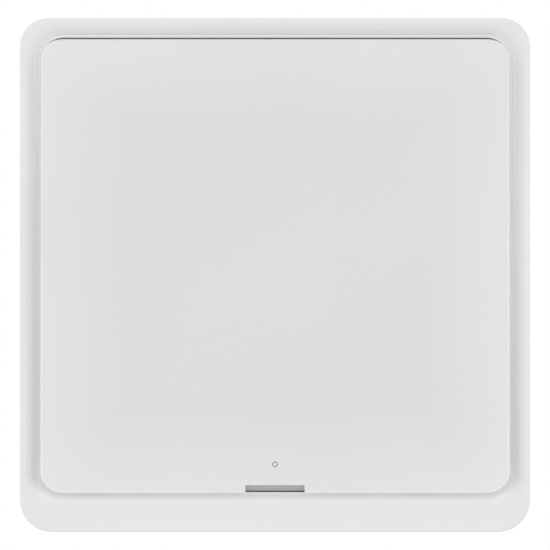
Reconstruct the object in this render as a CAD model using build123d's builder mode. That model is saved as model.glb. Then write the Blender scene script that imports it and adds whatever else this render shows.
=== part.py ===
from build123d import *
from math import asin, cos, degrees, pi, sin, sqrt
import os

os.makedirs("parts", exist_ok=True)

# A battery-powered wall button on the 86 mm switch-plate format.
# X runs right, Z up, and the front faces -Y. The wall is the plane y = 0, and the origin is
# the centre of the plate that lies on it. A level is a distance in front of the wall.
# The key and its carrier are drawn pressed, parallel to the wall, on planes that stand
# tilted by the key's swing, so they are written at rest.

# Face, as seen from the front
frame_width = 86.0
frame_height = 86.66
frame_top_radius = 4.8
frame_bottom_radius = 5.5
key_side_border = 3.5  # from the frame's edge to the key's
key_top_border = 3.53
key_bottom_border = 6.63
key_radius = 3.7
key_slit = 0.25  # open line above the key
key_overlap = 0.1  # the key's edge covers the frame's opening at the sides and below

# Depth: the stack from the wall to the key's face, with the key pressed
wall_gap = 0.3  # the skirts stop short of the wall
wall_plate_thickness = 1.8
floor_thickness = 1.4
standoff_height = 1.0
board_thickness = 1.2
holder_floor = 0.4
cell_height = 3.2
cell_key_gap = 1.6
key_plate = 1.6
key_flange = 0.5
key_flange_gap = 0.3  # under the flange
carrier_gap = 0.05  # between the carrier and the key's plate
carrier_thickness = 1.4
lip_thickness = 1.2
dish_depth = 1.2  # from the frame's rim down to its lip

# Mechanism: insets are from the frame's sides, and lifts from the key's bottom edge
key_travel = 0.9  # at the key's bottom edge
pivot_sink = 1.15  # from the carrier's underside down to the hinge axis
pivot_drop = 9.83  # from the frame's top edge to the hinge axis
bearing_inset = 14.0
spring_inset = 16.0
spring_lift = 12.7
spring_diameter = 4.0
damper_inset = 11.0
damper_lift = 6.7
stop_inset = 17.0
catch_lift = 5.8
led_lift = 4.75
running_gap = 0.05  # radial, and between faces that meet in use

cut_overrun = 1.0

floor_level = wall_plate_thickness
floor_top = floor_level + floor_thickness
board_underside = floor_top + standoff_height
board_face = board_underside + board_thickness
cell_bottom = board_face + holder_floor
cell_top = cell_bottom + cell_height
key_underside = cell_top + cell_key_gap
key_face = key_underside + key_plate
carrier_top = key_underside - carrier_gap
carrier_underside = carrier_top - carrier_thickness
pivot_level = carrier_underside - pivot_sink
lip_level = key_face - key_flange - key_flange_gap
lip_underside = lip_level - lip_thickness
frame_depth = lip_level + dish_depth

key_width = frame_width - 2 * key_side_border
key_height = frame_height - key_top_border - key_bottom_border
key_top = frame_height / 2 - key_top_border
key_bottom = key_top - key_height
key_z = (key_top + key_bottom) / 2
pivot_z = frame_height / 2 - pivot_drop
bearing_x = frame_width / 2 - bearing_inset
spring_x = frame_width / 2 - spring_inset
spring_z = key_bottom + spring_lift
damper_x = frame_width / 2 - damper_inset
damper_z = key_bottom + damper_lift
stop_x = frame_width / 2 - stop_inset
catch_z = key_bottom + catch_lift
led_z = key_bottom + led_lift
key_arm = pivot_z - key_bottom
swing = degrees(asin(key_travel / key_arm))

front_axis = Axis((0, 0, 0), (0, -1, 0))
side_view = Plane((0, 0, 0), x_dir=(0, 0, 1), z_dir=(1, 0, 0))
plan_view = Plane((0, 0, 0), x_dir=(1, 0, 0), z_dir=(0, 0, -1))


def front(level):
    """A plane parallel to the wall: x is right and y is up."""
    return Plane.XZ.offset(level)


def side(right):
    """A plane across the part: x is up and y is the level."""
    return side_view.offset(right)


def plan(up):
    """A level cut through the part: x is right and y is the level."""
    return plan_view.offset(-up)


def at_rest(plane):
    """The plane, tilted about the hinge from the pressed key to the key at rest."""
    tilt = Pos(0, -pivot_level, pivot_z) * Rot(X=-swing) * Pos(0, pivot_level, -pivot_z)
    return Plane(tilt * plane.location)


def rise(up):
    """How far a point of the key at this height stands out at rest, against pressed."""
    return key_travel * (pivot_z - up) / key_arm


def rounded_outline(width, height, top_radius, bottom_radius):
    """A rectangle with one radius at its upper corners and another at its lower ones."""
    with BuildSketch(mode=Mode.PRIVATE) as outline:
        Rectangle(width, height)
        fillet(outline.vertices().group_by(Axis.Y)[-1], radius=top_radius)
        fillet(outline.vertices().group_by(Axis.Y)[0], radius=bottom_radius)
    return outline.sketch


def frame_outline(inset):
    """The frame's outline, drawn in by a wall or a clearance."""
    return rounded_outline(
        frame_width - 2 * inset,
        frame_height - 2 * inset,
        frame_top_radius - inset,
        frame_bottom_radius - inset,
    )


# Outer frame: rim, dished bands that fall towards the key, lip and skirt
frame_wall = 1.6
frame_draft = 1.0
rim_width = 0.8
rim_round = 0.4
lip_width = 0.5  # flat floor of the dish, all round the opening
opening_radius = 3.75
dish_entry_share = 0.42  # slope at the rim, against the dish's mean slope
dish_section_shares = (0, 0.25, 0.5, 0.75, 1)
pry_slot_width = 9.0
pry_slot_height = 1.2
lug_pocket_margin = 0.3
lug_length = 6.0
lug_height = 1.6
lug_reach = 0.6  # proud of the housing's wall
lug_land = 0.4
lug_lift = 1.8  # from the housing's floor
lug_offset = 22.0

opening_width = key_width - 2 * key_overlap
opening_top = key_top + key_slit
opening_bottom = key_bottom + key_overlap
opening_height = opening_top - opening_bottom
opening_z = (opening_top + opening_bottom) / 2
lug_level = floor_top + lug_lift


def between(start, end, share):
    """The size that lies this share of the way from one size to another."""
    return start + share * (end - start)


def dish_outline(share):
    """The dish's outline, from the rim (share 0) to the lip (share 1)."""
    return rounded_outline(
        between(frame_width - 2 * rim_width, opening_width + 2 * lip_width, share),
        between(frame_height - 2 * rim_width, opening_height + 2 * lip_width, share),
        between(frame_top_radius - rim_width, opening_radius + lip_width, share),
        between(frame_bottom_radius - rim_width, opening_radius + lip_width, share),
    )


def dish_fall(share):
    """Depth of the dish under the rim: shallow at the rim and steeper towards the lip."""
    return dish_depth * (dish_entry_share * share + (1 - dish_entry_share) * share**2)


with BuildPart() as lug_pockets:
    with BuildSketch(plan(lug_offset)):
        with Locations((frame_width / 2 - frame_wall, lug_level + lug_height / 2)):
            Rectangle(2 * (lug_reach + lug_pocket_margin), lug_height + 2 * lug_pocket_margin)
    extrude(amount=lug_length / 2 + lug_pocket_margin, both=True)
    with BuildSketch(side(lug_offset)):
        with Locations((frame_height / 2 - frame_wall, lug_level + lug_height / 2)):
            Rectangle(2 * (lug_reach + lug_pocket_margin), lug_height + 2 * lug_pocket_margin)
    extrude(amount=lug_length / 2 + lug_pocket_margin, both=True)
    mirror(about=Plane.YZ)
    mirror(about=Plane.XY)

with BuildPart() as outer_frame:
    with BuildSketch(front(frame_depth)):
        add(frame_outline(0))
    extrude(amount=wall_gap - frame_depth, taper=frame_draft)
    fillet(outer_frame.faces().sort_by(front_axis)[-1].edges(), radius=rim_round)
    for share in dish_section_shares:
        with BuildSketch(front(frame_depth - dish_fall(share))):
            with Locations((0, share * opening_z)):
                add(dish_outline(share))
    loft(mode=Mode.SUBTRACT)
    with BuildSketch(front(lip_underside)):
        add(frame_outline(frame_wall))
    extrude(amount=wall_gap - lip_underside, mode=Mode.SUBTRACT)
    with BuildSketch(front(lip_underside)):
        with Locations((0, opening_z)):
            RectangleRounded(opening_width, opening_height, opening_radius)
    extrude(amount=lip_thickness, mode=Mode.SUBTRACT)
    with BuildSketch(front(wall_gap)):
        with Locations((0, -frame_height / 2)):
            RectangleRounded(pry_slot_width, 2 * (frame_wall + cut_overrun), frame_wall / 2)
    extrude(amount=pry_slot_height, mode=Mode.SUBTRACT)
    add(lug_pockets.part, mode=Mode.SUBTRACT)
outer_frame.part.label = "outer_frame"
export_step(outer_frame.part, "parts/outer_frame.step")

# Wall plate: lies on the wall, with two screw slots and four hooks that hold the housing
housing_fit = 0.2
housing_wall = 1.4
plate_fit = 0.3
screw_inset = 13.0  # from the frame's side
slot_width = 4.2
slot_length = 10.0
screw_head_width = 8.4
screw_head_recess = 0.8
pad_inset = 12.0  # from the frame's side to the pad's end
pad_drop = 18.33  # from the frame's top edge to the pad's middle
pad_width = 13.0
pad_thickness = 0.8
pad_radius = 2.0
hook_width = 5.0
hook_thickness = 1.0
hook_reach = 0.6
hook_height = 0.9  # of the barb over the floor
hook_offset = 12.0
hook_inset = 3.6  # from the housing's inner wall to the hook

housing_inner_top = frame_height / 2 - frame_wall - housing_fit - housing_wall
plate_inset = frame_wall + housing_fit + housing_wall + plate_fit
screw_spacing = frame_width - 2 * screw_inset
pad_length = frame_width - 2 * pad_inset
pad_spacing = frame_height - 2 * pad_drop
hook_z = housing_inner_top - hook_inset
barb_level = floor_top + running_gap

with BuildPart() as plate_hooks:
    with BuildSketch(side(hook_offset)):
        with BuildLine():
            Polyline(
                (hook_z - hook_thickness, wall_plate_thickness),
                (hook_z, wall_plate_thickness),
                (hook_z, barb_level),
                (hook_z + hook_reach, barb_level),
                (hook_z, barb_level + hook_height),
                (hook_z - hook_thickness, barb_level + hook_height),
                close=True,
            )
        make_face()
    extrude(amount=hook_width / 2, both=True)
    mirror(about=Plane.YZ)
    mirror(about=Plane.XY)

with BuildPart() as wall_plate:
    with BuildSketch(front(0)):
        add(frame_outline(plate_inset))
    extrude(amount=wall_plate_thickness)
    with BuildSketch(front(0)):
        with GridLocations(0, pad_spacing, 1, 2):
            RectangleRounded(pad_length, pad_width, pad_radius)
    extrude(amount=pad_thickness, mode=Mode.SUBTRACT)
    with BuildSketch(front(0)):
        with GridLocations(screw_spacing, 0, 2, 1):
            SlotOverall(slot_length, slot_width)
    extrude(amount=wall_plate_thickness, mode=Mode.SUBTRACT)
    with BuildSketch(front(wall_plate_thickness)):
        with GridLocations(screw_spacing, 0, 2, 1):
            SlotOverall(slot_length + screw_head_width - slot_width, screw_head_width)
    extrude(amount=-screw_head_recess, mode=Mode.SUBTRACT)
    add(plate_hooks.part)
wall_plate.part.label = "wall_plate"
export_step(wall_plate.part, "parts/wall_plate.step")

# Adhesive pads: flush in the back of the wall plate
with BuildPart() as adhesive_pads:
    with BuildSketch(front(0)):
        with GridLocations(0, pad_spacing, 1, 2):
            RectangleRounded(
                pad_length - 2 * running_gap, pad_width - 2 * running_gap, pad_radius - running_gap
            )
    extrude(amount=pad_thickness)
adhesive_pads.part.label = "adhesive_pads"
export_step(adhesive_pads.part, "parts/adhesive_pads.step")

# Circuit board: wide behind the carrier's upper half, with a narrow tongue between the springs
board_width = 60.0
board_top_gap = 7.5  # from the hinge axis down to the board's edge
board_bottom_lift = 1.7  # from the key's bottom edge
board_spring_gap = 5.0
board_radius = 1.5
cell_drop = 16.0  # from the board's top edge
cell_diameter = 20.0
cell_fit = 0.2
holder_wall = 1.6
tact_width = 6.2
tact_gap = 5.1  # from the cell's holder down to the switch
standoff_diameter = 5.0
board_screw_inset = 3.0
screw_shank = 1.9
screw_length = 3.0
screw_head = 3.6
screw_head_height = 1.3
screw_head_chamfer = 0.5
screw_drive_width = 0.5
screw_drive_length = 2.0
screw_drive_depth = 0.6

board_top = pivot_z - board_top_gap
board_bottom = key_bottom + board_bottom_lift
tongue_width = 2 * (spring_x - spring_diameter / 2 - board_spring_gap)
tongue_top = spring_z + spring_diameter / 2 + board_spring_gap
board_corner = min(board_radius, (board_width - tongue_width) / 4)
cell_radius = cell_diameter / 2
holder_radius = cell_radius + cell_fit + holder_wall
battery_z = board_top - cell_drop
tact_z = battery_z - holder_radius - tact_gap - tact_width / 2
board_screw_places = [
    (turn * (width / 2 - board_screw_inset), height)
    for width, height in (
        (board_width, board_top - board_screw_inset),
        (tongue_width, board_bottom + board_screw_inset),
    )
    for turn in (-1, 1)
]

with BuildPart() as circuit_board:
    with BuildSketch(front(board_underside)) as board_outline:
        with BuildLine():
            Polyline(
                (board_width / 2, board_top),
                (board_width / 2, tongue_top),
                (tongue_width / 2, tongue_top),
                (tongue_width / 2, board_bottom),
                (-tongue_width / 2, board_bottom),
                (-tongue_width / 2, tongue_top),
                (-board_width / 2, tongue_top),
                (-board_width / 2, board_top),
                close=True,
            )
        make_face()
        fillet(board_outline.vertices(), radius=board_corner)
        with Locations(board_screw_places):
            Circle(screw_shank / 2 + 2 * running_gap, mode=Mode.SUBTRACT)
    extrude(amount=board_thickness)
circuit_board.part.label = "circuit_board"
export_step(circuit_board.part, "parts/circuit_board.step")

with BuildPart() as board_screws:
    with BuildSketch(front(board_face)):
        with Locations(board_screw_places):
            Circle(screw_head / 2)
    extrude(amount=screw_head_height)
    chamfer(board_screws.edges().group_by(front_axis)[-1], length=screw_head_chamfer)
    with BuildSketch(front(board_face)):
        with Locations(board_screw_places):
            Circle(screw_shank / 2)
    extrude(amount=-screw_length)
    with BuildSketch(front(board_face + screw_head_height)):
        with Locations(board_screw_places):
            Rectangle(screw_drive_width, screw_drive_length)
            Rectangle(screw_drive_length, screw_drive_width)
    extrude(amount=-screw_drive_depth, mode=Mode.SUBTRACT)
board_screws.part.label = "board_screws"
export_step(board_screws.part, "parts/board_screws.step")

# Return springs: open helices that push the carrier out, one each side
spring_wire = 0.5
spring_turns = 5
wire_sides = 8
sample_count = 400

spring_height = carrier_underside + rise(spring_z + spring_diameter / 2) - floor_top - running_gap
coil_climb = spring_height - spring_wire


def coil_point(turns):
    """A point of the spring's centre line and its direction, after so many turns."""
    radius = (spring_diameter - spring_wire) / 2
    angle = 2 * pi * turns
    climb = coil_climb / spring_turns
    place = Vector(
        radius * cos(angle), -floor_top - spring_wire / 2 - climb * turns, radius * sin(angle)
    )
    heading = Vector(-2 * pi * radius * sin(angle), -climb, 2 * pi * radius * cos(angle)).normalized()
    return place, heading


def coil_joint(first, second):
    """The point where two arcs meet that join two points of the coil smoothly."""
    (start, start_heading), (end, end_heading) = first, second
    span = end - start
    both = start_heading + end_heading
    spread = 2 * (1 - start_heading.dot(end_heading))
    reach = (sqrt(span.dot(both) ** 2 + spread * span.dot(span)) - span.dot(both)) / spread
    return (start + end + (start_heading - end_heading) * reach) * 0.5


with BuildPart() as coil_spring:
    with BuildLine() as coil:
        for half_turn in range(2 * spring_turns):
            start, end = coil_point(half_turn / 2), coil_point((half_turn + 1) / 2)
            joint = coil_joint(start, end)
            TangentArc(start[0], joint, tangent=start[1])
            TangentArc(joint, end[0], tangent=-end[1], tangent_from_first=False)
    with BuildSketch(Plane(origin=coil_point(0)[0], z_dir=coil_point(0)[1])):
        RegularPolygon(spring_wire / 2, wire_sides)
    sweep(path=coil.wires()[0])

coil_samples = [coil.wires()[0] @ (n / sample_count) for n in range(sample_count + 1)]
half_turn_samples = sample_count // (2 * spring_turns)
least_coil_gap = min(
    (first - second).length - spring_wire
    for n, first in enumerate(coil_samples)
    for second in coil_samples[n + half_turn_samples :]
)
print(f"least gap between turns of a return spring: {least_coil_gap:.2f} mm")

for name, turn in (("return_spring_left", -1), ("return_spring_right", 1)):
    with BuildPart() as return_spring:
        with Locations((turn * spring_x, 0, spring_z)):
            add(coil_spring.part)
    return_spring.part.label = name
    export_step(return_spring.part, f"parts/{name}.step")

# Damper pads: soft stops for the pressed carrier, seated in bosses of the housing
damper_diameter = 4.0
damper_height = 2.0
damper_seat = 0.8
damper_chamfer = 0.5
damper_boss_wall = 0.65

damper_top = carrier_underside - carrier_gap

with BuildPart() as damper_pads:
    with BuildSketch(front(damper_top - damper_height)):
        with Locations((-damper_x, damper_z), (damper_x, damper_z)):
            Circle(damper_diameter / 2)
    extrude(amount=damper_height)
    chamfer(damper_pads.edges().group_by(front_axis)[-1], length=damper_chamfer)
damper_pads.part.label = "damper_pads"
export_step(damper_pads.part, "parts/damper_pads.step")

# Housing: floor, walls, board standoffs, bearing posts, spring seats and stops
bearing_bore = 2.5
bearing_wall = 0.85
bearing_width = 4.0
bearing_mouth = 2.0  # snap-in slot, narrower than the trunnion
spring_cup_wall = 0.7
spring_cup_height = 1.2
spring_pin = 2.2
spring_pin_height = 2.0
stop_width = 5.0
stop_thickness = 1.0
stop_reach = 0.5  # barb behind the catch
stop_gap = 0.4  # between the leg and the catch
barb_lift = 2.4  # from the housing's floor
barb_height = 1.0
catch_height = 1.2

trunnion = bearing_bore - 2 * running_gap
barb_bottom_level = floor_top + barb_lift
barb_tip_z = catch_z - stop_reach
catch_post_z = catch_z - stop_reach - stop_gap
catch_level = barb_bottom_level + barb_height + rise(barb_tip_z) + running_gap
screw_relief_margin = 1.5
hook_slot_margin = 0.3
hook_flex = 0.6  # room behind the hook, to snap in
hook_clearance = 0.1
housing_inset = frame_wall + housing_fit

with BuildPart() as housing_lugs:
    wall_x = frame_width / 2 - housing_inset
    wall_z = frame_height / 2 - housing_inset
    for plane, wall in ((plan(lug_offset), wall_x), (side(lug_offset), wall_z)):
        with BuildSketch(plane):
            with BuildLine():
                Polyline(
                    (wall - housing_wall / 2, lug_level),
                    (wall + lug_reach, lug_level),
                    (wall + lug_reach, lug_level + lug_land),
                    (wall, lug_level + lug_height),
                    (wall - housing_wall / 2, lug_level + lug_height),
                    close=True,
                )
            make_face()
        extrude(amount=lug_length / 2, both=True)
    mirror(about=Plane.YZ)
    mirror(about=Plane.XY)

with BuildPart() as bearing_post:
    bearing_radius = bearing_bore / 2 + bearing_wall
    with BuildSketch(side(bearing_x)):
        with Locations((pivot_z, pivot_level)):
            Circle(bearing_radius)
        with Locations((pivot_z, (pivot_level + floor_top) / 2)):
            Rectangle(2 * bearing_radius, pivot_level - floor_top)
        with Locations((pivot_z, pivot_level)):
            Circle(bearing_bore / 2, mode=Mode.SUBTRACT)
        with Locations((pivot_z, pivot_level + bearing_radius)):
            Rectangle(bearing_mouth, 2 * bearing_radius, mode=Mode.SUBTRACT)
    extrude(amount=bearing_width / 2, both=True)

with BuildPart() as catch_post:
    with BuildSketch(side(stop_x)):
        with BuildLine():
            Polyline(
                (catch_post_z - stop_thickness, floor_top),
                (catch_post_z, floor_top),
                (catch_post_z, catch_level),
                (catch_z, catch_level),
                (catch_post_z, catch_level + catch_height),
                (catch_post_z - stop_thickness, catch_level + catch_height),
                close=True,
            )
        make_face()
    extrude(amount=stop_width / 2, both=True)

with BuildPart() as back_housing:
    with BuildSketch(front(wall_gap)):
        add(frame_outline(housing_inset))
        add(frame_outline(housing_inset + housing_wall), mode=Mode.SUBTRACT)
    extrude(amount=lip_underside - wall_gap)
    with BuildSketch(front(floor_level)):
        add(frame_outline(housing_inset))
        with GridLocations(screw_spacing, 0, 2, 1):
            SlotOverall(
                slot_length + screw_head_width - slot_width + 2 * screw_relief_margin,
                screw_head_width + 2 * screw_relief_margin,
                mode=Mode.SUBTRACT,
            )
        hook_slot_height = hook_flex + hook_thickness + hook_clearance
        hook_slot_z = hook_z + hook_clearance - hook_slot_height / 2
        with GridLocations(2 * hook_offset, 2 * hook_slot_z, 2, 2):
            Rectangle(hook_width + 2 * hook_slot_margin, hook_slot_height, mode=Mode.SUBTRACT)
    extrude(amount=floor_thickness)
    with BuildSketch(front(floor_top)):
        with Locations(board_screw_places, (0, battery_z), (0, tact_z)):
            Circle(standoff_diameter / 2)
    extrude(amount=standoff_height)
    with BuildSketch(front(board_underside)):
        with Locations(board_screw_places):
            Circle(screw_shank / 2 + running_gap)
    extrude(amount=board_thickness - screw_length, mode=Mode.SUBTRACT)
    with BuildSketch(front(floor_top)):
        with Locations((spring_x, spring_z)):
            Circle(spring_diameter / 2 + 2 * running_gap + spring_cup_wall)
            Circle(spring_diameter / 2 + 2 * running_gap, mode=Mode.SUBTRACT)
    extrude(amount=spring_cup_height)
    with BuildSketch(front(floor_top)):
        with Locations((spring_x, spring_z)):
            Circle(spring_pin / 2)
    extrude(amount=spring_pin_height)
    with BuildSketch(front(floor_top)):
        with Locations((damper_x, damper_z)):
            Circle(damper_diameter / 2 + running_gap + damper_boss_wall)
    extrude(amount=damper_top - damper_height + damper_seat - floor_top)
    with BuildSketch(front(damper_top - damper_height)):
        with Locations((damper_x, damper_z)):
            Circle(damper_diameter / 2 + running_gap)
    extrude(amount=damper_seat, mode=Mode.SUBTRACT)
    add(bearing_post.part)
    add(catch_post.part)
    mirror(about=Plane.YZ)
    add(housing_lugs.part)
back_housing.part.label = "back_housing"
export_step(back_housing.part, "parts/back_housing.step")

# Coin cell, lying in an open ring with a contact above and one below
cell_step = 1.2  # from the can's side in to its cap's
cell_cap_height = 0.3
cell_chamfer = 0.4
holder_height = 2.9
holder_finger_gap = 9.0
clip_width = 6.0
clip_margin = 0.5
clip_thickness = 0.3
clip_foot = 2.0
clip_reach = 5.0
clip_bend = 0.6
contact_width = 3.0
contact_thickness = 0.15
contact_foot = 1.6
contact_length = 4.0  # past the cell's centre
contact_bow = 2.0
contact_bend = 0.3

with BuildPart() as coin_cell:
    with BuildSketch(front(cell_bottom)):
        with Locations((0, battery_z)):
            Circle(cell_radius - cell_step)
    extrude(amount=cell_cap_height)
    with BuildSketch(front(cell_bottom + cell_cap_height)):
        with Locations((0, battery_z)):
            Circle(cell_radius)
    extrude(amount=cell_height - cell_cap_height)
    rims = coin_cell.edges().filter_by(GeomType.CIRCLE).sort_by(SortBy.RADIUS)[-2:]
    chamfer(rims, length=cell_chamfer)
coin_cell.part.label = "coin_cell"
export_step(coin_cell.part, "parts/coin_cell.step")

with BuildPart() as battery_holder:
    with BuildSketch(front(board_face)):
        with Locations((0, battery_z)):
            Circle(holder_radius)
    extrude(amount=holder_height)
    with BuildSketch(front(cell_bottom)):
        with Locations((0, battery_z)):
            Circle(cell_radius + cell_fit)
        with Locations((holder_radius, battery_z)):
            Rectangle(holder_radius, clip_width + 2 * clip_margin)
        with Locations((0, battery_z - holder_radius)):
            Rectangle(holder_finger_gap, holder_radius)
    extrude(amount=holder_height, mode=Mode.SUBTRACT)
    with BuildSketch(front(board_face)):
        slot_reach = holder_radius + contact_length + contact_thickness
        with Locations((0, battery_z + contact_length + contact_thickness - slot_reach / 2)):
            Rectangle(contact_width + 4 * running_gap, slot_reach)
        with Locations((holder_radius, battery_z)):
            Rectangle(2 * (holder_wall - clip_thickness), clip_width + 2 * clip_margin)
    extrude(amount=holder_floor, mode=Mode.SUBTRACT)
battery_holder.part.label = "battery_holder"
export_step(battery_holder.part, "parts/battery_holder.step")

with BuildPart() as battery_positive_clip:
    clip_x = holder_radius - holder_wall / 2
    clip_middle = clip_thickness / 2
    with BuildSketch(plan(battery_z)):
        with BuildLine():
            FilletPolyline(
                (holder_radius + clip_foot, board_face + clip_middle),
                (clip_x, board_face + clip_middle),
                (clip_x, cell_top + clip_middle),
                (cell_radius - clip_reach, cell_top + clip_middle),
                radius=clip_bend,
            )
        trace(line_width=clip_thickness)
    extrude(amount=clip_width / 2, both=True)
battery_positive_clip.part.label = "battery_positive_clip"
export_step(battery_positive_clip.part, "parts/battery_positive_clip.step")

with BuildPart() as battery_negative_contact:
    contact_low = board_face + contact_thickness / 2
    contact_high = cell_bottom - contact_thickness / 2
    with BuildSketch(side(0)):
        with BuildLine():
            FilletPolyline(
                (battery_z - holder_radius - contact_foot, contact_low),
                (battery_z - contact_length, contact_low),
                (battery_z - contact_bow / 2, contact_high),
                (battery_z + contact_bow / 2, contact_high),
                (battery_z + contact_length, contact_low),
                radius=contact_bend,
            )
        trace(line_width=contact_thickness)
    extrude(amount=contact_width / 2, both=True)
battery_negative_contact.part.label = "battery_negative_contact"
export_step(battery_negative_contact.part, "parts/battery_negative_contact.step")

# Radio module: a small board with plated half-holes, a shield can and a printed aerial
module_cell_gap = 1.5
module_height = 20.0
module_thickness = 0.8
module_inset = 0.7  # from the board's side
module_drop = 2.0  # its middle below the cell's
module_hole = 0.4
module_pitch = 2.0
module_holes = 6
shield_side_inset = 1.3
shield_top_inset = 0.8
shield_aerial_gap = 2.2
shield_depth = 1.9
shield_wall = 0.25
shield_radius = 0.6
shield_vent = 0.8
shield_vent_pitch = 3.0
shield_vents = 2  # each way
aerial_legs = 7
aerial_height = 3.6
aerial_width = 0.5
aerial_thickness = 0.1
aerial_inset = 0.8
aerial_side_inset = 2.0

module_width = board_width / 2 - module_inset - holder_radius - module_cell_gap
shield_width = module_width - 2 * shield_side_inset
shield_height = module_height - shield_top_inset - aerial_inset - aerial_height - shield_aerial_gap
aerial_pitch = (module_width - 2 * aerial_side_inset) / (aerial_legs - 1)
module_x = module_inset + module_width / 2 - board_width / 2
module_z = battery_z - module_drop
module_face = board_face + module_thickness
shield_z = module_z + module_height / 2 - shield_top_inset - shield_height / 2

with BuildPart() as radio_module:
    with BuildSketch(front(board_face)):
        with Locations((module_x, module_z)):
            Rectangle(module_width, module_height)
        with Locations((module_x, shield_z)):
            with GridLocations(module_width, module_pitch, 2, module_holes):
                Circle(module_hole, mode=Mode.SUBTRACT)
    extrude(amount=module_thickness)
radio_module.part.label = "radio_module"
export_step(radio_module.part, "parts/radio_module.step")

with BuildPart() as radio_shield:
    with BuildSketch(front(module_face)):
        with Locations((module_x, shield_z)):
            RectangleRounded(shield_width, shield_height, shield_radius)
    extrude(amount=shield_depth)
    with BuildSketch(front(module_face)):
        with Locations((module_x, shield_z)):
            RectangleRounded(
                shield_width - 2 * shield_wall,
                shield_height - 2 * shield_wall,
                shield_radius - shield_wall,
            )
    extrude(amount=shield_depth - shield_wall, mode=Mode.SUBTRACT)
    with BuildSketch(front(module_face + shield_depth)):
        with Locations((module_x, shield_z)):
            with GridLocations(shield_vent_pitch, shield_vent_pitch, shield_vents, shield_vents):
                Circle(shield_vent / 2)
    extrude(amount=-shield_wall, mode=Mode.SUBTRACT)
radio_shield.part.label = "radio_shield"
export_step(radio_shield.part, "parts/radio_shield.step")

with BuildPart() as radio_aerial:
    aerial_bottom = module_z - module_height / 2 + aerial_inset
    aerial_left = module_x - (aerial_legs - 1) * aerial_pitch / 2
    turns = []
    for leg in range(aerial_legs):
        ends = [aerial_bottom, aerial_bottom + aerial_height]
        if leg % 2:
            ends.reverse()
        turns += [(aerial_left + leg * aerial_pitch, end) for end in ends]
    with BuildSketch(front(module_face)):
        with BuildLine():
            Polyline(*turns)
        trace(line_width=aerial_width)
    extrude(amount=aerial_thickness)
radio_aerial.part.label = "radio_aerial"
export_step(radio_aerial.part, "parts/radio_aerial.step")

# Push switches: a square case whose cover holds the plunger's flange in
pairing_inset = 8.0  # from the board's side
pairing_lift = 2.0  # above the cell's middle
switch_corner = 0.4
switch_base = 0.5
switch_cover = 0.45
switch_lug_width = 0.9
switch_lug_reach = 0.8
switch_lug_thickness = 0.25
stem_gap = 0.1
tact_height = 2.4
tact_cavity = 4.9
tact_stem = 3.2
tact_flange = 4.4
tact_flange_height = 0.5
tact_plunger_height = 3.2  # its top above the board
pairing_width = 4.2
pairing_height = 1.7
pairing_cavity = 2.7
pairing_stem = 1.4
pairing_flange = 2.3
pairing_flange_height = 0.35
pairing_plunger_height = 2.2


def switch_body(name, right, up, width, height, cavity, stem):
    """A switch's case with its cavity, stem hole and four solder lugs."""
    with BuildPart() as body:
        with BuildSketch(front(board_face)):
            with Locations((right, up)):
                RectangleRounded(width, width, switch_corner)
        extrude(amount=height)
        with BuildSketch(front(board_face)):
            with Locations((right, up)):
                with GridLocations(width + switch_lug_reach, width - 2 * switch_lug_width, 2, 2):
                    Rectangle(switch_lug_reach, switch_lug_width)
        extrude(amount=switch_lug_thickness)
        with BuildSketch(front(board_face + switch_base)):
            with Locations((right, up)):
                Circle(cavity / 2)
        extrude(amount=height - switch_base - switch_cover, mode=Mode.SUBTRACT)
        with BuildSketch(front(board_face + height)):
            with Locations((right, up)):
                Circle(stem / 2 + stem_gap)
        extrude(amount=-switch_cover, mode=Mode.SUBTRACT)
    body.part.label = name
    export_step(body.part, f"parts/{name}.step")


def switch_plunger(name, right, up, height, stem, flange, flange_height, top):
    """A switch's plunger: a flange under the cover and a stem that stands out of it."""
    flange_top = board_face + height - switch_cover - running_gap
    with BuildPart() as plunger:
        with BuildSketch(front(flange_top)):
            with Locations((right, up)):
                Circle(flange / 2)
        extrude(amount=-flange_height)
        with BuildSketch(front(flange_top)):
            with Locations((right, up)):
                Circle(stem / 2)
        extrude(amount=board_face + top - flange_top)
    plunger.part.label = name
    export_step(plunger.part, f"parts/{name}.step")


pairing_x = board_width / 2 - pairing_inset
pairing_z = battery_z + pairing_lift
switch_body("tact_switch_body", 0, tact_z, tact_width, tact_height, tact_cavity, tact_stem)
switch_plunger(
    "tact_plunger", 0, tact_z, tact_height,
    tact_stem, tact_flange, tact_flange_height, tact_plunger_height,
)
switch_body(
    "pairing_switch_body", pairing_x, pairing_z,
    pairing_width, pairing_height, pairing_cavity, pairing_stem,
)
switch_plunger(
    "pairing_plunger", pairing_x, pairing_z, pairing_height,
    pairing_stem, pairing_flange, pairing_flange_height, pairing_plunger_height,
)

# Small parts on the board: the status light under its guide, and passives
led_width = 2.8
led_height = 1.6
led_base = 0.4
led_lens_width = 1.8
led_lens_height = 1.3
led_lens = 0.5
led_lens_round = 0.3
passive_length = 1.6
passive_width = 0.8
passive_thickness = 0.6
passive_pitch = 2.4
passive_offset = 13.0  # from the switch's middle
passive_inset = 7.0  # from the tongue's side
passive_lift = 12.95  # above the status light
reservoir_length = 3.5
reservoir_width = 2.8
reservoir_height = 1.9
reservoir_chamfer = 0.2
reservoir_drop = 9.0  # below the pairing switch

passive_places = [
    (passive_offset, tact_z),
    (passive_inset - tongue_width / 2, led_z + passive_lift),
]

with BuildPart() as status_led:
    with BuildSketch(front(board_face)):
        with Locations((0, led_z)):
            Rectangle(led_width, led_height)
    extrude(amount=led_base)
    with BuildSketch(front(board_face + led_base)):
        with Locations((0, led_z)):
            Rectangle(led_lens_width, led_lens_height)
    extrude(amount=led_lens)
    fillet(status_led.faces().sort_by(front_axis)[-1].edges(), radius=led_lens_round)
status_led.part.label = "status_led"
export_step(status_led.part, "parts/status_led.step")

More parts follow.
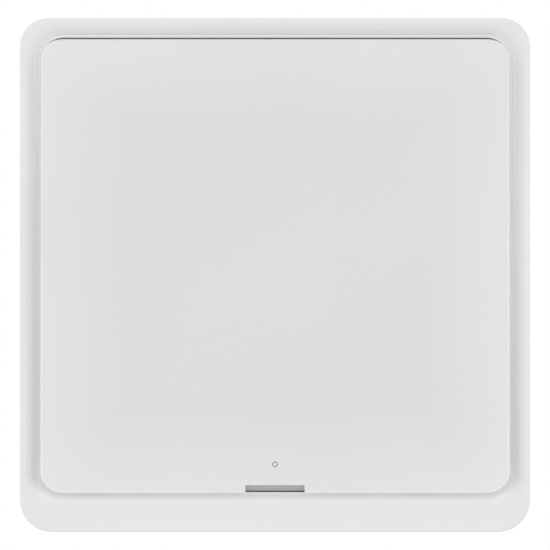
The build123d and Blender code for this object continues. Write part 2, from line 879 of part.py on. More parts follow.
with BuildPart() as board_passives:
    with BuildSketch(front(board_face)):
        with Locations(passive_places):
            with GridLocations(passive_pitch, passive_pitch, 3, 2):
                Rectangle(passive_width, passive_length)
    extrude(amount=passive_thickness)
    with BuildSketch(front(board_face)):
        with Locations((pairing_x, pairing_z - reservoir_drop)):
            Rectangle(reservoir_width, reservoir_length)
    extrude(amount=reservoir_height)
    chamfer(board_passives.edges().group_by(front_axis)[-1], length=reservoir_chamfer)
board_passives.part.label = "board_passives"
export_step(board_passives.part, "parts/board_passives.step")

# Key carrier: plate, ribs, post sockets, trunnions, stop legs and switch nub
key_step = 0.25  # the key's edge stands out past its skirt
key_skirt = 3.8
key_skirt_wall = 1.0
carrier_side_gap = 0.75
carrier_radius = 2.0
carrier_rib = 1.0
carrier_rib_depth = 1.5
board_rib_gap = 1.75  # from the board's top edge to the rib above it
spring_rib_gap = 1.5  # from the springs to the rib above them
side_rib_inset = 6.5  # from the carrier's side
cell_window_gap = 1.2
ear_thickness = 1.8
ear_gap = 0.3
ear_radius = 2.0
trunnion_overhang = 0.3
trunnion_chamfer = 0.3
post_window_gap = 0.4
socket_wall = 0.9
socket_depth = 2.0
post_diameter = 2.5
post_length = 3.0
post_chamfer = 0.3
post_side_inset = 6.5  # from the key's side
post_top_inset = 19.8
post_bottom_inset = 22.7
spring_stub_height = 1.0
nub_diameter = 3.0
guide_stem = 1.8
guide_hole_gap = 0.6
pairing_access = 2.6

carrier_inset = key_step + key_skirt_wall + carrier_side_gap
carrier_width = key_width - 2 * carrier_inset
carrier_height = key_height - 2 * carrier_inset
post_places = [
    (turn * (key_width / 2 - post_side_inset), height)
    for turn in (-1, 1)
    for height in (key_top - post_top_inset, key_bottom + post_bottom_inset)
]
cell_window = holder_radius + cell_window_gap
rib_top_z = board_top + board_rib_gap
rib_bottom_z = spring_z + spring_diameter / 2 + spring_rib_gap
side_rib_x = carrier_width / 2 - side_rib_inset
nub_level = board_face + tact_plunger_height - rise(tact_z) + running_gap


def key_front(level):
    """The front plane of the key at rest."""
    return at_rest(front(level))


def key_side(right):
    """The side plane of the key at rest."""
    return at_rest(side(right))


with BuildPart() as trunnions:
    ear_face = bearing_x - bearing_width / 2 - ear_gap
    with BuildSketch(key_side(ear_face)):
        with Locations((pivot_z, pivot_level)):
            Circle(trunnion / 2)
    extrude(amount=ear_gap + bearing_width + trunnion_overhang)
    chamfer(trunnions.faces().sort_by(Axis.X)[-1].edges(), length=trunnion_chamfer)
    mirror(about=Plane.YZ)

with BuildPart() as key_carrier:
    with BuildSketch(key_front(carrier_underside)):
        with Locations((0, key_z)):
            RectangleRounded(carrier_width, carrier_height, carrier_radius)
    extrude(amount=carrier_thickness)
    with BuildSketch(key_front(carrier_underside)):
        with Locations((0, key_z)):
            RectangleRounded(carrier_width, carrier_height, carrier_radius)
            RectangleRounded(
                carrier_width - 2 * carrier_rib,
                carrier_height - 2 * carrier_rib,
                carrier_radius - carrier_rib,
                mode=Mode.SUBTRACT,
            )
        for height in (rib_top_z, rib_bottom_z):
            with Locations((0, height)):
                Rectangle(carrier_width - carrier_rib, carrier_rib)
        for turn in (-1, 1):
            with Locations((turn * side_rib_x, (rib_top_z + rib_bottom_z) / 2)):
                Rectangle(carrier_rib, rib_top_z - rib_bottom_z)
        with Locations((0, battery_z)):
            Circle(cell_window + carrier_rib)
    extrude(amount=-carrier_rib_depth)
    with BuildSketch(key_front(carrier_underside)):
        with Locations(post_places):
            Circle(post_diameter / 2 + running_gap + socket_wall)
    extrude(amount=-socket_depth)
    with BuildSketch(key_front(carrier_underside)):
        with Locations((-spring_x, spring_z), (spring_x, spring_z)):
            Circle(spring_pin / 2)
    extrude(amount=-spring_stub_height)
    with BuildSketch(key_front(nub_level)):
        with Locations((0, tact_z)):
            Circle(nub_diameter / 2)
    extrude(amount=carrier_underside - nub_level)
    for turn in (-1, 1):
        with BuildSketch(key_side(turn * (ear_face - ear_thickness / 2))):
            with Locations((pivot_z, pivot_level)):
                Circle(ear_radius)
            with Locations((pivot_z, (pivot_level + carrier_top) / 2)):
                Rectangle(2 * ear_radius, carrier_top - pivot_level)
        extrude(amount=ear_thickness / 2, both=True)
        with BuildSketch(key_side(turn * stop_x)):
            with BuildLine():
                Polyline(
                    (catch_z + stop_gap + stop_thickness, carrier_underside),
                    (catch_z + stop_gap, carrier_underside),
                    (catch_z + stop_gap, barb_bottom_level + barb_height),
                    (barb_tip_z, barb_bottom_level + barb_height),
                    (catch_z + stop_gap, barb_bottom_level),
                    (catch_z + stop_gap + stop_thickness, barb_bottom_level),
                    close=True,
                )
            make_face()
        extrude(amount=stop_width / 2, both=True)
    with BuildSketch(key_front(carrier_top)):
        with Locations((0, battery_z)):
            Circle(cell_window)
        with Locations(post_places):
            Circle(post_diameter / 2 + running_gap)
        with Locations((0, led_z)):
            Circle(guide_stem / 2 + guide_hole_gap)
        with Locations((pairing_x, pairing_z)):
            Circle(pairing_access / 2)
        window_width = bearing_width + ear_gap + post_window_gap
        window_height = bearing_bore + 2 * (bearing_wall + post_window_gap)
        for turn in (-1, 1):
            with Locations((turn * (ear_face + window_width / 2), pivot_z)):
                Rectangle(window_width, window_height)
    extrude(amount=-(carrier_thickness + carrier_rib_depth + socket_depth), mode=Mode.SUBTRACT)
    add(trunnions.part)
key_carrier.part.label = "key_carrier"
export_step(key_carrier.part, "parts/key_carrier.step")

# Key cap: flanged plate, skirt, snap posts, light hole and a notch to pry it off
key_round = 0.3
key_inner_radius = 2.4
notch_top_width = 9.8
notch_bottom_width = 10.2
notch_height = 1.3
notch_depth = 2.0
guide_tip = 0.75
guide_tip_gap = 0.1
guide_recess = 0.15
guide_head = 2.6
guide_head_height = 0.8
guide_length = 5.4
guide_chamfer = 0.12

skirt_radius = key_radius - key_step


def is_post_edge(edge):
    """Whether a round edge belongs to one of the snap posts."""
    return abs(edge.radius - post_diameter / 2) < running_gap / 2


key_axis = Axis(key_front(0).origin, key_front(0).z_dir)


with BuildPart() as pry_notch:
    notch_top = key_bottom + notch_height
    notch_foot = key_bottom + key_step
    with BuildSketch(key_front(key_face + cut_overrun)):
        with BuildLine():
            Polyline(
                (-notch_top_width / 2, notch_top),
                (notch_top_width / 2, notch_top),
                (notch_bottom_width / 2, key_bottom - cut_overrun),
                (-notch_bottom_width / 2, key_bottom - cut_overrun),
                close=True,
            )
        make_face()
    extrude(amount=-(notch_depth + cut_overrun))
    with BuildSketch(key_side(0)):
        with BuildLine():
            Polyline(
                (notch_top, key_face),
                (notch_foot, key_face - notch_depth),
                (key_bottom - cut_overrun, key_face - notch_depth),
                (key_bottom - cut_overrun, key_face + cut_overrun),
                (notch_top, key_face + cut_overrun),
                close=True,
            )
        make_face()
    extrude(amount=notch_bottom_width, both=True, mode=Mode.INTERSECT)

with BuildPart() as key_cap:
    with BuildSketch(key_front(key_face - key_flange)):
        with Locations((0, key_z)):
            RectangleRounded(key_width, key_height, key_radius)
    extrude(amount=key_flange)
    fillet(key_cap.faces().sort_by(key_axis)[-1].edges(), radius=key_round)
    with BuildSketch(key_front(key_face - key_flange)):
        with Locations((0, key_z)):
            RectangleRounded(key_width - 2 * key_step, key_height - 2 * key_step, skirt_radius)
    extrude(amount=key_flange - key_skirt)
    with BuildSketch(key_front(key_face - key_skirt)):
        with Locations((0, key_z)):
            RectangleRounded(
                key_width - 2 * (key_step + key_skirt_wall),
                key_height - 2 * (key_step + key_skirt_wall),
                key_inner_radius,
            )
    extrude(amount=key_skirt - key_plate, mode=Mode.SUBTRACT)
    with BuildSketch(key_front(key_underside)):
        with Locations(post_places):
            Circle(post_diameter / 2)
    extrude(amount=-post_length)
    post_edges = key_cap.edges().filter_by(GeomType.CIRCLE).filter_by(is_post_edge)
    chamfer(post_edges.group_by(key_axis)[0], length=post_chamfer)
    with BuildSketch(key_front(key_underside)):
        with Locations((0, led_z)):
            Circle(guide_head / 2 + running_gap)
    extrude(amount=guide_head_height, mode=Mode.SUBTRACT)
    with BuildSketch(key_front(key_face)):
        with Locations((0, led_z)):
            Circle(guide_tip / 2 + guide_tip_gap)
    extrude(amount=-key_plate, mode=Mode.SUBTRACT)
    add(pry_notch.part, mode=Mode.SUBTRACT)
key_cap.part.label = "key_cap"
export_step(key_cap.part, "parts/key_cap.step")

# Light guide: a stepped clear rod from the key's face to just over the status light
with BuildPart() as light_guide:
    with BuildSketch(key_front(key_underside)):
        with Locations((0, led_z)):
            Circle(guide_head / 2)
    extrude(amount=guide_head_height)
    with BuildSketch(key_front(key_underside)):
        with Locations((0, led_z)):
            Circle(guide_tip / 2)
    extrude(amount=key_plate - guide_recess)
    chamfer(light_guide.edges().group_by(key_axis)[-1], length=guide_chamfer)
    with BuildSketch(key_front(key_underside)):
        with Locations((0, led_z)):
            Circle(guide_stem / 2)
    extrude(amount=key_plate - guide_length)
light_guide.part.label = "light_guide"
export_step(light_guide.part, "parts/light_guide.step")
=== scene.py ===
from math import radians, tan

import bpy
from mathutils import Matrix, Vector


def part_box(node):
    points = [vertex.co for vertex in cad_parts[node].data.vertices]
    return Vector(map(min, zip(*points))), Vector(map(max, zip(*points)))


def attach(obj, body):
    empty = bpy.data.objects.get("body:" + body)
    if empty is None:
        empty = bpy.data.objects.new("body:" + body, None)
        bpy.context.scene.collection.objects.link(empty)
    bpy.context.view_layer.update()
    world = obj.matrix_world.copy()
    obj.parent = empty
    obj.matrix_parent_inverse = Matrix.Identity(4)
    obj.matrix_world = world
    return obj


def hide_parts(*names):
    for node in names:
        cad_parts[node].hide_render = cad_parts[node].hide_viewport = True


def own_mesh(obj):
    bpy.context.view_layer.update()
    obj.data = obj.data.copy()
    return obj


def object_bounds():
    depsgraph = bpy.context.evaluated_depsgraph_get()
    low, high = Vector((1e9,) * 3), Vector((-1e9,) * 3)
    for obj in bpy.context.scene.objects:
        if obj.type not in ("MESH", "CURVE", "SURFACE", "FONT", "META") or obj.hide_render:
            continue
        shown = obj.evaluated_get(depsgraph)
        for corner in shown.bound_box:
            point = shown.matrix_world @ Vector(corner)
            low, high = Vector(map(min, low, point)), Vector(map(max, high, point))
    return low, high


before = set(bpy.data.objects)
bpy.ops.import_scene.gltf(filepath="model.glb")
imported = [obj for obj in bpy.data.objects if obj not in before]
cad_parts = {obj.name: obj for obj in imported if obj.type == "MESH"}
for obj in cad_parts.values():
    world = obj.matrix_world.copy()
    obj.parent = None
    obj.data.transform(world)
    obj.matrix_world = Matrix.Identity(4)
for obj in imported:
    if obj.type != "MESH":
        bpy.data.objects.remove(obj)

cad_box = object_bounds()

MM = 0.001

# Photograph: a square frontal view from far off, measured in its pixels
PHOTO_SIDE = 550
PHOTO_FRAME_LEFT = 19.8
PHOTO_FRAME_RIGHT = 530.1
PHOTO_CENTRE = (275.0, 275.1)

# Camera
CAMERA_DISTANCE = 0.9
CAMERA_NEAR = 0.01
CAMERA_FAR = 20.0
SENSOR = 36.0

# Pieces that the camera and the painted light and shade are measured from
frame_low, frame_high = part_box("outer_frame")
key_low, key_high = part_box("key_cap")
guide_low, guide_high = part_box("light_guide")
frame_width = frame_high.x - frame_low.x
rim_y = frame_low.y
metres_per_pixel = frame_width / (PHOTO_FRAME_RIGHT - PHOTO_FRAME_LEFT)
view_width = metres_per_pixel * PHOTO_SIDE

# Light: an even room and soft boxes all round, with their levels in watts
ROOM_LIGHT = 0.80
BOX_DISTANCE = 0.5
BOX_WIDTH = 0.4
BOX_HEIGHT = 0.4
BOX_FORWARD = 0.3
BACK_BOX_SPREAD = 0.8
BACK_BOX_RISE = 0.5
FRONT_LEVEL = 0.37
SIDE_LEVEL = 0.31
UP_DOWN_LEVEL = 0.21
BACK_LEVEL = 0.3

# Floor: its emission to the camera makes it look white and leaves the object's shadow
FLOOR_DROP = 1.6
FLOOR_RADIUS = 4.0
FLOOR_CORNERS = 96
FLOOR_LIFT = 0.35
FLOOR_PATCH = 0.3
FLOOR_TONES = (0.88, 0.9)

# Finishes: sizes of their patches, and the part of the noise over which a colour changes
FLOW_SIZE = 30 * MM
GLOSS_SIZE = 4 * MM
PATCH_SPREAD = (0.3, 0.7)
STREAK_SPREAD = (0.2, 0.8)
STREAK_DARKENING = 0.08
PLASTIC_IOR = 1.5

# Marks of the mould's pins on faces that don't show in use
PIN_RADIUS = 2.5 * MM
PIN_RING = 0.2 * MM
PIN_DEPTH = 0.05 * MM


# Shader helpers
class Shader:
    """A node material with one Principled shader and object coordinates in metres."""

    def __init__(self, name):
        self.material = bpy.data.materials.new(name)
        self.material.use_nodes = True
        self.nodes = self.material.node_tree.nodes
        self.links = self.material.node_tree.links
        self.surface = self.nodes["Principled BSDF"]
        self.place = self.nodes.new("ShaderNodeTexCoord").outputs["Object"]

    def set(self, **values):
        """Sets the surface's own sockets, named with underscores for spaces."""
        for name, value in values.items():
            self.surface.inputs[name.replace("_", " ")].default_value = value

    def link(self, output, name):
        """Links an output to one of the surface's sockets."""
        self.links.new(output, self.surface.inputs[name])

    def noise(self, size, detail=2.0, roughness=0.5, stretch=(1.0, 1.0, 1.0)):
        """Noise from 0 to 1 whose features are about this size in metres."""
        mapping = self.nodes.new("ShaderNodeMapping")
        mapping.inputs["Scale"].default_value = stretch
        self.links.new(self.place, mapping.inputs["Vector"])
        node = self.nodes.new("ShaderNodeTexNoise")
        node.inputs["Scale"].default_value = 1 / size
        node.inputs["Detail"].default_value = detail
        node.inputs["Roughness"].default_value = roughness
        self.links.new(mapping.outputs["Vector"], node.inputs["Vector"])
        return node.outputs["Fac"]

    def cells(self, size):
        """Distance to the centres of cells of about this size in metres."""
        node = self.nodes.new("ShaderNodeTexVoronoi")
        node.inputs["Scale"].default_value = 1 / size
        self.links.new(self.place, node.inputs["Vector"])
        return node.outputs["Distance"]

    def ramp(self, value, *stops):
        """Colours or greys at positions from 0 to 1, read with a value."""
        node = self.nodes.new("ShaderNodeValToRGB")
        elements = node.color_ramp.elements
        while len(elements) < len(stops):
            elements.new(1.0)
        for element, (position, colour) in zip(elements, stops):
            channels = colour if isinstance(colour, tuple) else (colour,) * 3
            element.position = position
            element.color = (*channels, 1.0)
        self.links.new(value, node.inputs["Fac"])
        return node.outputs["Color"]

    def patches(self, size, first, second, detail=2.0):
        """Patches of about this size that go from one colour or grey to another."""
        start, end = PATCH_SPREAD
        return self.ramp(self.noise(size, detail), (start, first), (end, second))

    def gloss(self, size, low, high):
        """Uneven roughness between two levels, in patches of about this size."""
        self.link(self.levels(self.noise(size), low, high), "Roughness")

    def part(self, axis):
        """One coordinate of the point, in metres: 0 for X, 1 for Y and 2 for Z."""
        node = self.nodes.new("ShaderNodeSeparateXYZ")
        self.links.new(self.place, node.inputs["Vector"])
        return node.outputs[axis]

    def math(self, operation, *values):
        """Math on outputs and plain numbers."""
        node = self.nodes.new("ShaderNodeMath")
        node.operation = operation
        for value, socket in zip(values, node.inputs):
            if isinstance(value, float):
                socket.default_value = value
            else:
                self.links.new(value, socket)
        return node.outputs["Value"]

    def beyond(self, axis, low, high):
        """How far outside two limits the point's coordinate is, below zero inside them."""
        from_middle = self.math("ABSOLUTE", self.math("SUBTRACT", self.part(axis), (low + high) / 2))
        return self.math("SUBTRACT", from_middle, (high - low) / 2)

    def length(self, first, second):
        """The length of two outputs as the legs of a right angle."""
        squares = self.math("ADD", self.math("POWER", first, 2.0), self.math("POWER", second, 2.0))
        return self.math("SQRT", squares)

    def outwards(self, low, high, radius):
        """Distance out from an outline in X and Z with rounded corners, below zero inside it."""
        legs = (self.math("MAXIMUM", self.beyond(axis, low[axis] + radius, high[axis] - radius), 0.0)
                for axis in (0, 2))
        return self.math("SUBTRACT", self.length(*legs), radius)

    def mix(self, share, first, second):
        """The first colour where the share is 0 and the second where it is 1."""
        node = self.nodes.new("ShaderNodeMix")
        node.data_type = "RGBA"
        sockets = [socket for socket in node.inputs if socket.type == "RGBA"]
        self.links.new(share, node.inputs[0])
        self.links.new(first, sockets[0])
        self.links.new(second, sockets[1])
        return [socket for socket in node.outputs if socket.type == "RGBA"][0]

    def shaded(self, colour, painted_shading):
        """The colour with each channel multiplied by a tone of painted light and shade."""
        node = self.nodes.new("ShaderNodeVectorMath")
        node.operation = "MULTIPLY"
        self.links.new(colour, node.inputs[0])
        self.links.new(painted_shading, node.inputs[1])
        return node.outputs["Vector"]

    def levels(self, value, low, high, start=0.0, end=1.0):
        """The value put between two levels as it goes from start to end."""
        node = self.nodes.new("ShaderNodeMapRange")
        node.inputs["From Min"].default_value = start
        node.inputs["From Max"].default_value = end
        node.inputs["To Min"].default_value = low
        node.inputs["To Max"].default_value = high
        self.links.new(value, node.inputs["Value"])
        return node.outputs["Result"]

    def bump(self, height, depth):
        """A relief this deep in metres, over whatever relief there is."""
        node = self.nodes.new("ShaderNodeBump")
        node.inputs["Strength"].default_value = 1.0
        node.inputs["Distance"].default_value = depth
        self.links.new(height, node.inputs["Height"])
        below = self.surface.inputs["Normal"].links
        if below:
            self.links.new(below[0].from_socket, node.inputs["Normal"])
        self.links.new(node.outputs["Normal"], self.surface.inputs["Normal"])

    def ejector_marks(self, spacing_x, spacing_z):
        """Faint rings where the mould's pins pushed, spaced evenly from the middle."""
        x = self.math("WRAP", self.part(0), spacing_x, 0.0)
        z = self.math("WRAP", self.part(2), spacing_z / 2, -spacing_z / 2)
        from_pin = self.length(self.math("SUBTRACT", x, spacing_x / 2), z)
        from_ring = self.math("ABSOLUTE", self.math("SUBTRACT", from_pin, PIN_RADIUS))
        self.bump(self.levels(from_ring, 1.0, 0.0, 0.0, PIN_RING), PIN_DEPTH)


def tinted(colour, change):
    """The colour made lighter or darker by a share."""
    return tuple(channel * (1 + change) for channel in colour)


def moulded(name, colour, grain, depth, roughness, variation=0.01, painted_shading=None):
    """Moulded plastic: fine spark-eroded grain, faint flow marks and uneven gloss, with painted light and
    shade where it is given.
    """
    shader = Shader(name)
    paint = shader.patches(FLOW_SIZE, tinted(colour, -variation), tinted(colour, variation), detail=1.0)
    # Painted light and shade, where given, multiply the colour
    if painted_shading:
        paint = shader.shaded(paint, painted_shading(shader))
    shader.link(paint, "Base Color")
    shader.gloss(GLOSS_SIZE, *roughness)
    shader.set(IOR=PLASTIC_IOR)
    shader.bump(shader.noise(grain, detail=3.0, roughness=0.6), depth)
    return shader


def metal(name, colour, roughness, brush=(1.0, 1.0, 1.0), scratch=0.3 * MM, depth=0.002 * MM):
    """Bare or plated metal with brushing along one axis."""
    shader = Shader(name)
    streaks = shader.noise(scratch, detail=3.0, stretch=brush)
    start, end = STREAK_SPREAD
    paint = shader.ramp(streaks, (start, tinted(colour, -STREAK_DARKENING)), (end, colour))
    shader.link(paint, "Base Color")
    shader.link(shader.levels(streaks, *roughness), "Roughness")
    shader.set(Metallic=1.0)
    shader.bump(streaks, depth)
    return shader


def dress(shader, *names):
    """Gives CAD nodes this finish."""
    for name in names:
        for material_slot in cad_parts[name].material_slots:
            material_slot.material = shader.material


# White shells that show in the photograph
WHITE = (0.775, 0.775, 0.775)
KEY_WHITE = (0.701, 0.687, 0.694)

# Painted light and shade on the key: painted light towards its edges and most in its corners, a painted
# highlight on its rounded edge that turns to painted shade at the top, painted shade in the notch, painted
# light round the light hole
NO_TONE = (0.0, 1.0)
KEY_CORNER = 3.7 * MM
KEY_CORNER_PAINTED_LIGHT = 1.15
KEY_EDGE_REACH = 14 * MM
KEY_EDGE_SHARE = 0.5
KEY_FILLET = 0.22 * MM
KEY_FILLET_SHARE = 0.4
KEY_FILLET_HIGHLIGHT = 1.25
KEY_TOP_SHADE = 0.75
NOTCH_HALF_WIDTH = 4.95 * MM
NOTCH_HEIGHT = 1.23 * MM
NOTCH_BLUR = 0.08 * MM
NOTCH_SHADE = 0.6
NOTCH_FOOT = (0.25 * MM, 0.4 * MM)
HOLE_PAINTED_LIGHT = 1.25
HOLE_REACH = (0.5 * MM, 0.56 * MM)

# Painted light and shade beside the key: how far in from the key's top and bottom edges they are full, and
# where they end
TOP_FADE = (5 * MM, 1 * MM)
BOTTOM_FADE = (2.5 * MM, -0.5 * MM)

# Painted light and shade round the key: on the lip and in the dish, above, below and beside the key
DISH_REACH = 3 * MM
LIP_SHARE = 0.15
DISH_SHARE = 0.45
RIM_SHARE = 0.95
TOP_PAINTED_SHADING = (1.05, 0.95)
CHIN_PAINTED_SHADING = (0.95, 1.1)
SIDE_PAINTED_SHADING = (1.05, 0.85)


def from_guide(shader):
    """Distance from the light guide's middle line."""
    middle = (guide_low + guide_high) / 2
    return shader.length(*(shader.math("SUBTRACT", shader.part(axis), middle[axis]) for axis in (0, 2)))


def key_painted_shading(shader):
    """Painted light towards the key's edges and most in its corners, a painted highlight on its rounded
    edge with painted shade along the top, painted shade in the notch above its foot, and painted light
    round the light hole.
    """
    # Painted light towards the key's edges, most in its corners
    past_edges = (shader.beyond(axis, key_low[axis], key_high[axis]) for axis in (0, 2))
    nearness = (shader.levels(past_edge, 0.0, KEY_EDGE_SHARE, -KEY_EDGE_REACH, 0.0)
                for past_edge in past_edges)
    painted_edge_light = shader.ramp(shader.length(*nearness), NO_TONE, (1.0, KEY_CORNER_PAINTED_LIGHT))
    height = shader.part(2)
    # A painted highlight on the key's rounded edge, and painted shade along its top edge beside the slit
    fillet = shader.levels(shader.outwards(key_low, key_high, KEY_CORNER), 0.0, 1.0, -KEY_FILLET, 0.0)
    at_top = shader.levels(height, 0.0, 1.0, key_high.z - 2 * KEY_FILLET, key_high.z - KEY_FILLET)
    edge = shader.mix(at_top, shader.ramp(fillet, NO_TONE, (KEY_FILLET_SHARE, KEY_FILLET_HIGHLIGHT)),
                      shader.ramp(fillet, NO_TONE, (KEY_FILLET_SHARE, KEY_TOP_SHADE)))
    # Painted shade in the notch's recess, above its foot
    notch_top = key_low.z + NOTCH_HEIGHT
    beside = shader.beyond(0, -NOTCH_HALF_WIDTH, NOTCH_HALF_WIDTH)
    in_notch = shader.math("MULTIPLY", shader.levels(beside, 1.0, 0.0, 0.0, NOTCH_BLUR),
                           shader.levels(height, 1.0, 0.0, notch_top, notch_top + NOTCH_BLUR))
    above_foot = shader.levels(height, 0.0, 1.0, key_low.z + NOTCH_FOOT[0], key_low.z + NOTCH_FOOT[1])
    in_notch = shader.math("MULTIPLY", in_notch, above_foot)
    notch_shade = shader.ramp(in_notch, NO_TONE, (1.0, NOTCH_SHADE))
    # Painted light on the key round the light hole, lightening its ring of shade
    in_hole = shader.levels(from_guide(shader), 1.0, 0.0, *HOLE_REACH)
    hole_light = shader.ramp(in_hole, NO_TONE, (1.0, HOLE_PAINTED_LIGHT))
    return shader.shaded(shader.shaded(shader.shaded(painted_edge_light, edge), notch_shade), hole_light)


def band(shader, out, lip_tone, dish_tone):
    """Painted shading: one tone on the lip, one in the dish and none on the rim, with soft steps between
    them.
    """
    return shader.ramp(out, (LIP_SHARE, lip_tone), (DISH_SHARE, dish_tone), (RIM_SHARE, 1.0))


def frame_painted_shading(shader):
    """Painted light and shade round the key: painted shade in the dish beside and above the key with
    painted light on the lip there, and painted light on the chin with painted shade on its lip.
    """
    out = shader.levels(shader.outwards(key_low, key_high, KEY_CORNER), 0.0, 1.0, 0.0, DISH_REACH)
    height = shader.part(2)
    upper = shader.levels(height, 0.0, 1.0, key_low.z, key_high.z)
    ends = shader.mix(upper, band(shader, out, *CHIN_PAINTED_SHADING), band(shader, out, *TOP_PAINTED_SHADING))
    below_top = shader.levels(height, 1.0, 0.0, key_high.z - TOP_FADE[0], key_high.z - TOP_FADE[1])
    above_bottom = shader.levels(height, 0.0, 1.0, key_low.z + BOTTOM_FADE[1], key_low.z + BOTTOM_FADE[0])
    beside_key = shader.math("MULTIPLY", below_top, above_bottom)
    return shader.mix(beside_key, ends, band(shader, out, *SIDE_PAINTED_SHADING))


# The frame's and the key's whites carry painted light and shade round the key
dress(moulded("frame_white", WHITE, grain=0.16 * MM, depth=0.004 * MM, roughness=(0.42, 0.5),
              painted_shading=frame_painted_shading), "outer_frame")
dress(moulded("key_white", KEY_WHITE, grain=0.13 * MM, depth=0.003 * MM, roughness=(0.4, 0.47),
              painted_shading=key_painted_shading), "key_cap")

# Shells behind and inside
dress(moulded("housing_white", (0.72, 0.72, 0.71), grain=0.3 * MM, depth=0.01 * MM, roughness=(0.48, 0.6),
              variation=0.015), "back_housing")
plate = moulded("plate_white", (0.72, 0.72, 0.715), grain=0.35 * MM, depth=0.012 * MM,
                roughness=(0.5, 0.62), variation=0.015)
plate.ejector_marks(spacing_x=40 * MM, spacing_z=74 * MM)
dress(plate, "wall_plate")
carrier = moulded("carrier_white", (0.74, 0.735, 0.72), grain=0.25 * MM, depth=0.005 * MM,
                  roughness=(0.35, 0.45))
carrier.ejector_marks(spacing_x=50 * MM, spacing_z=22 * MM)
dress(carrier, "key_carrier")

# Light guide: clear plastic with a frosted core
GUIDE_CORE_RADIUS = 0.18 * MM
GUIDE_SKIN_RADIUS = 0.28 * MM
GUIDE_CORE_TONE = 0.9
GUIDE_SKIN_TONE = 0.8
guide = Shader("guide_clear")
guide_skin = guide.levels(from_guide(guide), 0.0, 1.0, GUIDE_CORE_RADIUS, GUIDE_SKIN_RADIUS)
guide.link(guide.ramp(guide_skin, (0.0, GUIDE_CORE_TONE), (1.0, GUIDE_SKIN_TONE)), "Base Color")
guide.set(IOR=1.49, Transmission_Weight=0.1)
guide.gloss(size=0.1 * MM, low=0.25, high=0.45)
guide.bump(guide.noise(size=0.06 * MM), depth=0.004 * MM)
dress(guide, "light_guide")

# Adhesive pads: closed-cell foam
foam = Shader("pad_foam")
foam.link(foam.patches(size=0.5 * MM, first=0.5, second=0.62, detail=4.0), "Base Color")
foam.set(Roughness=0.9, Specular_IOR_Level=0.2)
foam.bump(foam.cells(size=0.35 * MM), depth=0.08 * MM)
dress(foam, "adhesive_pads")

# Boards
TRACK_EDGE = (0.06, 0.09)
TRACK_STEP = (0.05, 0.1)


def board_mask(name, mask, track, pitch):
    """Solder mask over copper tracks that step round in right angles."""
    shader = Shader(name)
    islands = shader.nodes.new("ShaderNodeTexVoronoi")
    islands.distance = "CHEBYCHEV"
    islands.feature = "DISTANCE_TO_EDGE"
    islands.inputs["Scale"].default_value = 1 / pitch
    islands.inputs["Randomness"].default_value = 0.8
    shader.links.new(shader.place, islands.inputs["Vector"])
    edge = islands.outputs["Distance"]
    shader.link(shader.ramp(edge, (TRACK_EDGE[0], mask), (TRACK_EDGE[1], track)), "Base Color")
    shader.gloss(size=1.5 * MM, low=0.28, high=0.4)
    shader.set(Coat_Weight=0.4, Coat_Roughness=0.2)
    shader.bump(shader.ramp(edge, (TRACK_STEP[0], 0.0), (TRACK_STEP[1], 1.0)), depth=0.02 * MM)
    return shader


dress(board_mask("solder_mask", mask=(0.012, 0.09, 0.035), track=(0.02, 0.15, 0.05), pitch=5 * MM),
      "circuit_board")
dress(board_mask("module_mask", mask=(0.01, 0.03, 0.07), track=(0.015, 0.045, 0.1), pitch=3 * MM),
      "radio_module")

# Metals
dress(metal("cell_steel", (0.66, 0.65, 0.63), roughness=(0.22, 0.38), brush=(1.0, 1.0, 12.0)), "coin_cell")
dress(metal("contact_nickel", (0.68, 0.65, 0.58), roughness=(0.2, 0.32)),
      "battery_positive_clip", "battery_negative_contact")
dress(metal("screw_zinc", (0.62, 0.61, 0.6), roughness=(0.3, 0.42)), "board_screws")
dress(metal("shield_tin", (0.64, 0.64, 0.63), roughness=(0.28, 0.42), brush=(8.0, 1.0, 1.0)),
      "radio_shield")
dress(metal("aerial_gold", (0.83, 0.6, 0.25), roughness=(0.25, 0.35)), "radio_aerial")
dress(metal("spring_steel", (0.5, 0.5, 0.5), roughness=(0.2, 0.3)),
      "return_spring_left", "return_spring_right")

# Small mouldings
dress(moulded("holder_black", (0.02, 0.02, 0.021), grain=0.2 * MM, depth=0.008 * MM, roughness=(0.45, 0.6),
              variation=0.1), "battery_holder")
dress(moulded("switch_black", (0.018, 0.018, 0.02), grain=0.15 * MM, depth=0.006 * MM,
              roughness=(0.4, 0.55), variation=0.1), "tact_switch_body", "pairing_switch_body")
dress(moulded("plunger_grey", (0.35, 0.34, 0.33), grain=0.15 * MM, depth=0.004 * MM, roughness=(0.4, 0.5),
              variation=0.03), "tact_plunger", "pairing_plunger")
dress(moulded("damper_rubber", (0.06, 0.06, 0.062), grain=0.2 * MM, depth=0.012 * MM,
              roughness=(0.65, 0.8), variation=0.08), "damper_pads")
dress(moulded("ceramic", (0.32, 0.25, 0.17), grain=0.12 * MM, depth=0.006 * MM, roughness=(0.4, 0.55),
              variation=0.1), "board_passives")

# Status light: a yellowish lens
lens = Shader("led_lens")
lens.link(lens.patches(size=0.5 * MM, first=(0.8, 0.78, 0.55), second=(0.88, 0.86, 0.66)), "Base Color")
lens.set(Roughness=0.2, Transmission_Weight=0.3)
lens.bump(lens.noise(size=0.2 * MM), depth=0.004 * MM)
dress(lens, "status_led")

# Return springs (in the real switch they shorten a little more than the key travels): copies with meshes
# of their own, on the base, stand in for the CAD springs
for side in ("left", "right"):
    node_name = f"return_spring_{side}"
    spring = bpy.data.objects.new(f"pressed_spring_{side}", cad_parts[node_name].data.copy())
    bpy.context.scene.collection.objects.link(spring)
    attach(spring, "base")
    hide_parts(node_name)
    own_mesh(spring)


def camera_side(nodes, links):
    """1 for camera, glossy and transmission rays, and 0 for the light on the object."""
    path = nodes.new("ShaderNodeLightPath")
    seen = path.outputs["Is Camera Ray"]
    for name in ("Is Glossy Ray", "Is Transmission Ray"):
        larger = nodes.new("ShaderNodeMath")
        larger.operation = "MAXIMUM"
        links.new(seen, larger.inputs[0])
        links.new(path.outputs[name], larger.inputs[1])
        seen = larger.outputs["Value"]
    return seen


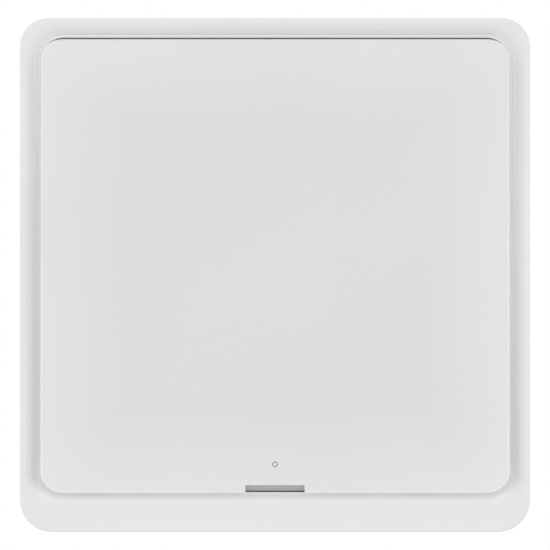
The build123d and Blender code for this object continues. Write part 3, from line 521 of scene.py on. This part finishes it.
# Room: white all round to the camera, an even light on the object
ROOM_WHITE = (1.0, 1.0, 1.0, 1.0)
world = bpy.data.worlds.new("room")
world.use_nodes = True
bpy.context.scene.world = world
room_nodes, room_links = world.node_tree.nodes, world.node_tree.links
room_shown = room_nodes.new("ShaderNodeBackground")
room_shown.inputs["Strength"].default_value = 1.0
room_shown.inputs["Color"].default_value = ROOM_WHITE
room_light = room_nodes["Background"]
room_light.inputs["Color"].default_value = ROOM_WHITE
room_light.inputs["Strength"].default_value = ROOM_LIGHT
room_mix = room_nodes.new("ShaderNodeMixShader")
room_links.new(camera_side(room_nodes, room_links), room_mix.inputs["Fac"])
room_links.new(room_light.outputs["Background"], room_mix.inputs[1])
room_links.new(room_shown.outputs["Background"], room_mix.inputs[2])
room_links.new(room_mix.outputs["Shader"], room_nodes["World Output"].inputs["Surface"])


def soft_box(name, direction, level):
    """A soft box that faces the object, with its level in watts."""
    lamp = bpy.data.lights.new(name, "AREA")
    lamp.shape = "RECTANGLE"
    lamp.size, lamp.size_y = BOX_WIDTH, BOX_HEIGHT
    lamp.energy = level
    box = bpy.data.objects.new(name, lamp)
    towards = Vector(direction).normalized()
    box.location = towards * BOX_DISTANCE
    box.rotation_euler = towards.to_track_quat("Z", "Y").to_euler()
    bpy.context.scene.collection.objects.link(box)


soft_box("box_front", (0.0, -1.0, 0.0), FRONT_LEVEL)
for name, side in (("left", -1.0), ("right", 1.0)):
    soft_box(f"box_{name}", (side, -BOX_FORWARD, 0.0), SIDE_LEVEL)
    soft_box(f"box_back_{name}", (side * BACK_BOX_SPREAD, 1.0, BACK_BOX_RISE), BACK_LEVEL)
for name, side in (("up", 1.0), ("down", -1.0)):
    soft_box(f"box_{name}", (0.0, -BOX_FORWARD, side), UP_DOWN_LEVEL)

# Floor
bpy.ops.mesh.primitive_circle_add(vertices=FLOOR_CORNERS, radius=FLOOR_RADIUS, fill_type="NGON",
                                  location=(0, 0, cad_box[0].z - FLOOR_DROP))
floor = bpy.context.object
floor.name = "floor"
floor_paint = Shader("floor_paint")
floor_paint.link(floor_paint.patches(FLOOR_PATCH, *FLOOR_TONES, detail=1.0), "Base Color")
floor_paint.set(Roughness=1.0, Specular_IOR_Level=0.0, Emission_Color=ROOM_WHITE)
floor_seen = camera_side(floor_paint.nodes, floor_paint.links)
floor_paint.link(floor_paint.math("MULTIPLY", floor_seen, FLOOR_LIFT), "Emission Strength")
floor.data.materials.append(floor_paint.material)

# Camera: the rim's plane is where the photograph's scale holds
camera_data = bpy.data.cameras.new("camera")
camera_data.sensor_width = SENSOR
camera_data.lens = SENSOR * CAMERA_DISTANCE / view_width
camera_data.clip_start = CAMERA_NEAR
camera_data.clip_end = CAMERA_FAR
camera = bpy.data.objects.new("camera", camera_data)
right = (PHOTO_SIDE / 2 - PHOTO_CENTRE[0]) * metres_per_pixel
up = (PHOTO_CENTRE[1] - PHOTO_SIDE / 2) * metres_per_pixel
camera.location = (right, rim_y - CAMERA_DISTANCE, up)
camera.rotation_euler = (radians(90), 0, 0)
bpy.context.scene.collection.objects.link(camera)
bpy.context.scene.camera = camera

bpy.context.scene.view_settings.view_transform = "Standard"
